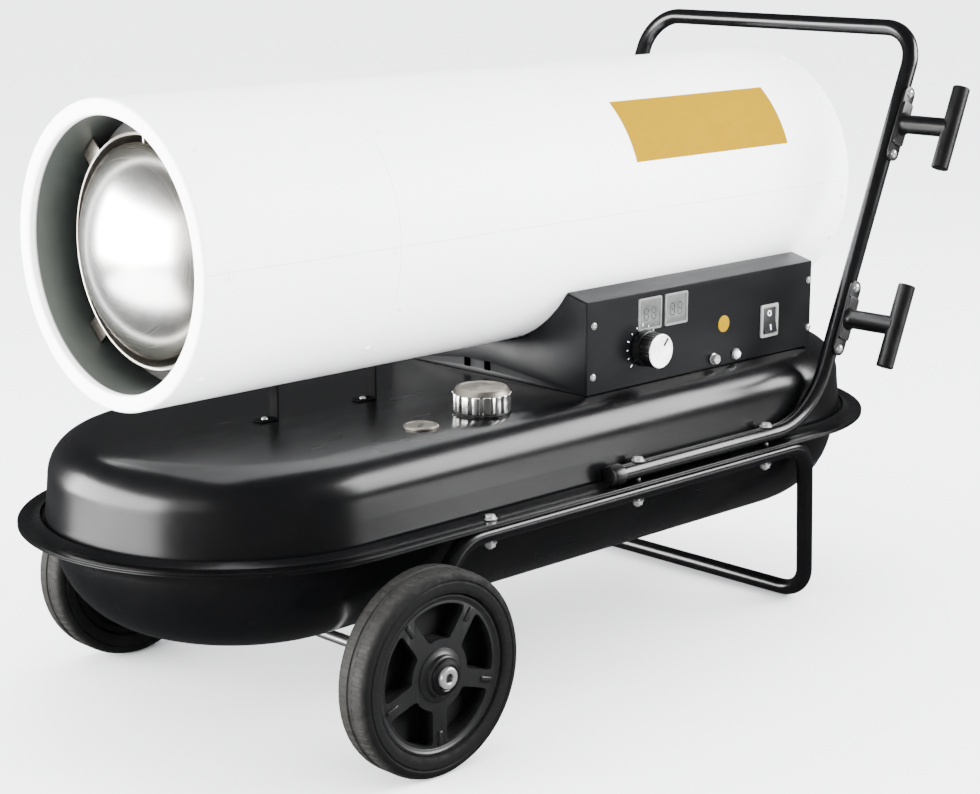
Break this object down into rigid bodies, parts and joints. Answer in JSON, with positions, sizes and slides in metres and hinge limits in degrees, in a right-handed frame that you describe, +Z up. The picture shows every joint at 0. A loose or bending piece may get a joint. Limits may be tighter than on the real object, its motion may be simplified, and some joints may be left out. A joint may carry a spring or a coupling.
{
  "type": "forced air heater",
  "caption": "Wheeled oil-fired forced air heater: round casing over a flanged fuel tank, with a domed outlet, control box, bent tube handle and stand.",
  "frame": {"origin": "centre of the bounding box in plan, on the floor under the wheels and the stand", "axes": "+X along the heater from the hot air outlet at the front to the intake and the handle, +Z up, controls and cord hooks on the -Y side"},
  "size_m": [1.128, 0.5786, 0.6862],
  "materials": {
    "white_enamel": "gloss powder coat",
    "black_enamel": "semi-gloss enamel",
    "black_tube": "satin powder coat",
    "black_plastic": "fine grained",
    "grey_plastic": "smooth",
    "red_plastic": "smooth",
    "tyre_rubber": "dusty matt",
    "hose_rubber": "matt",
    "stainless": "polished",
    "steel": "plain",
    "zinc": "bright zinc",
    "aluminium": "plain sheet",
    "porcelain": "glazed",
    "circuit_board": "lacquered"
  },
  "bodies": {
    "heater": {"casing_front_upper": "white_enamel", "casing_front_lower": "white_enamel", "casing_rear_upper": "white_enamel", "casing_rear_lower": "white_enamel", "outlet_ring": "white_enamel", "tank_upper_pan": "black_enamel", "tank_lower_pan": "black_enamel", "control_panel": "black_enamel", "right_panel": "black_enamel", "front_saddle_plate": "black_enamel", "rear_saddle_plate": "black_enamel", "handle_tube": "black_tube", "stand_frame": "black_tube", "casing_support_front": "black_tube", "casing_support_rear": "black_tube", "rear_guard": "black_tube", "handle_plug_left": "black_plastic", "handle_plug_right": "black_plastic", "cord_hook_upper": "black_plastic", "cord_hook_lower": "black_plastic", "thermostat_body": "black_plastic", "switch_body": "black_plastic", "fuse_holder": "black_plastic", "ignition_transformer": "black_plastic", "flame_photocell": "black_plastic", "display_module": "grey_plastic", "fuel_hose": "hose_rubber", "air_hose": "hose_rubber", "combustion_drum": "stainless", "outlet_dome": "stainless", "axle": "steel", "drum_head": "steel", "burner_nozzle": "steel", "motor": "steel", "motor_bracket": "steel", "fuel_gauge": "zinc", "fuel_pickup": "zinc", "reset_switch": "zinc", "axle_nut_left": "zinc", "axle_nut_right": "zinc", "front_bolt_left": "zinc", "front_bolt_right": "zinc", "middle_bolt_left": "zinc", "middle_bolt_right": "zinc", "rear_bolt_left": "zinc", "rear_bolt_right": "zinc", "air_pump": "aluminium", "igniter": "porcelain", "control_board": "circuit_board"},
    "left_wheel": {"tyre_left": "tyre_rubber", "wheel_hub_left": "black_plastic"},
    "right_wheel": {"tyre_right": "tyre_rubber", "wheel_hub_right": "black_plastic"},
    "fan_rotor": {"fan": "aluminium", "motor_shaft": "steel"},
    "knob": {"thermostat_knob": "black_plastic"},
    "rocker": {"switch_rocker": "grey_plastic"},
    "reset": {"reset_button": "red_plastic"},
    "cap": {"fuel_cap": "zinc"},
    "float": {"fuel_float": "black_plastic"}
  },
  "joints": [
    {"name": "left_wheel_roll", "type": "hinge", "parent": "heater", "child": "left_wheel", "pos_m": [-0.3105, -0.2416, 0.1035], "axis": [0, 1, 0], "continuous": true},
    {"name": "right_wheel_roll", "type": "hinge", "parent": "heater", "child": "right_wheel", "pos_m": [-0.3105, 0.258, 0.1035], "axis": [0, 1, 0], "continuous": true},
    {"name": "fan_spin", "type": "hinge", "parent": "heater", "child": "fan_rotor", "pos_m": [0.2145, 0.0082, 0.49865], "axis": [1, 0, 0], "continuous": true},
    {"name": "thermostat_knob_turn", "type": "hinge", "parent": "heater", "child": "knob", "pos_m": [0.097, -0.1478, 0.3485], "axis": [0, 1, 0], "range_deg": [0, 270]},
    {"name": "switch_rocker_tilt", "type": "hinge", "parent": "heater", "child": "rocker", "pos_m": [0.3165, -0.1478, 0.349], "axis": [1, 0, 0], "range_deg": [0, 16]},
    {"name": "reset_button_press", "type": "slide", "parent": "heater", "child": "reset", "axis": [0, 1, 0], "range_m": [0, 0.003], "stiffness_N_per_m": 400, "springref_m": -0.001},
    {"name": "fuel_cap_turn", "type": "hinge", "parent": "heater", "child": "cap", "pos_m": [-0.1205, -0.1188, 0.30765], "axis": [0, 0, 1], "range_deg": [0, 90]},
    {"name": "fuel_float_swing", "type": "hinge", "parent": "heater", "child": "float", "pos_m": [-0.2105, -0.1228, 0.28765], "axis": [0, -1, 0], "range_deg": [0, 40]}
  ]
}
